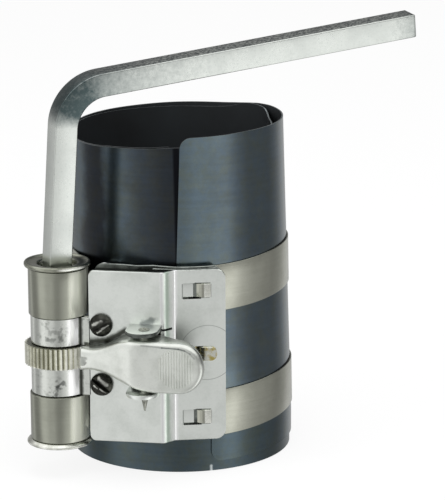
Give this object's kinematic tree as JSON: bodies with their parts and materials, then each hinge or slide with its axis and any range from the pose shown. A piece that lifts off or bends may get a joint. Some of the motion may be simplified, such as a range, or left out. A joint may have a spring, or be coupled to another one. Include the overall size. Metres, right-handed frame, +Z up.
{
  "type": "piston ring compressor",
  "caption": "Ratchet piston ring compressor: a coiled spring steel sleeve, straps wound on a ratchet spool in a sheet bracket, a release lever and a loose bent square key.",
  "frame": {"origin": "on the sleeve's axis at its bottom rim", "axes": "+Z up along the sleeve, -Y out of the bracket's front, +X to the right seen from the front"},
  "size_m": [0.1003, 0.079, 0.1194],
  "materials": {
    "blued_spring_steel": "blued satin",
    "strap_steel": "bare satin",
    "zinc_sheet": "bright zinc",
    "spool_steel": "oiled satin",
    "key_steel": "zinc plated bar",
    "dark_steel": "oiled dark",
    "yellow_zinc": "yellow zinc"
  },
  "bodies": {
    "frame": {"sleeve": "blued_spring_steel", "upper_strap": "strap_steel", "lower_strap": "strap_steel", "saddle_plate": "zinc_sheet", "front_plate": "zinc_sheet", "sleeve_anchor": "yellow_zinc", "upper_clamp_screw": "dark_steel", "lower_clamp_screw": "dark_steel", "upper_clamp_nut": "dark_steel", "lower_clamp_nut": "dark_steel", "pivot_pin": "dark_steel", "return_spring": "dark_steel"},
    "spool": {"spindle": "spool_steel", "top_flange": "spool_steel", "bottom_flange": "spool_steel", "ratchet_wheel": "spool_steel", "upper_strap_coil": "strap_steel", "lower_strap_coil": "strap_steel"},
    "lever": {"release_lever": "zinc_sheet"},
    "key": {"key_handle": "key_steel"}
  },
  "joints": [
    {"name": "spool_turn", "type": "hinge", "parent": "frame", "child": "spool", "pos_m": [-0.0275, -0.03322, 0.0335], "axis": [0, 0, 1], "range_deg": [-135, 1080]},
    {"name": "lever_release", "type": "hinge", "parent": "frame", "child": "lever", "pos_m": [-0.0024, -0.04282, 0.0335], "axis": [0, 0, 1], "range_deg": [-4, 14], "stiffness_Nm_per_rad": 0.05, "springref_deg": -14.32},
    {"name": "key_lift", "type": "slide", "parent": "spool", "child": "key", "axis": [0.068, -0.0419, 0.9968], "range_m": [0, 0.06]}
  ]
}
